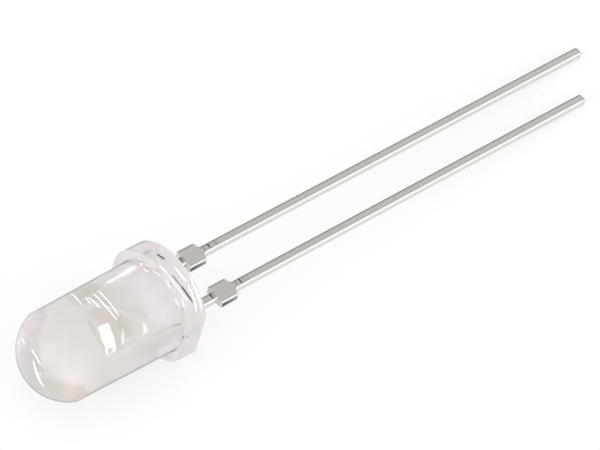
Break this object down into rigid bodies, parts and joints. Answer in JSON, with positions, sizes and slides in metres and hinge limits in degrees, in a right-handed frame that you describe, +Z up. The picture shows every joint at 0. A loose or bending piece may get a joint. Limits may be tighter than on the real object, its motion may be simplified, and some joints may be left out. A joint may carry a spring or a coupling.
{
  "type": "through hole led",
  "caption": "Clear round through hole LED: domed epoxy lens with a flanged rim and one flat, and two long square leads with stand-offs.",
  "frame": {"origin": "centre of the bounding box's base, on the surface that the diode lies on", "axes": "+Z up as it lies at rest, +X along the diode over the surface from the dome towards the lead tips, +Y from the cathode lead towards the anode lead"},
  "size_m": [0.0378, 0.0058, 0.0061],
  "materials": {
    "clear_epoxy": "gloss",
    "plated_lead": "satin",
    "die": "gloss",
    "die_adhesive": "matte",
    "phosphor": "satin",
    "gold_wire": "gloss"
  },
  "bodies": {
    "root": {"epoxy_lens": "clear_epoxy", "anode_lead": "plated_lead", "cathode_lead": "plated_lead", "led_chip": "die", "die_attach": "die_adhesive", "phosphor_fill": "phosphor", "anode_bond_wire": "gold_wire", "cathode_bond_wire": "gold_wire"}
  },
  "joints": []
}
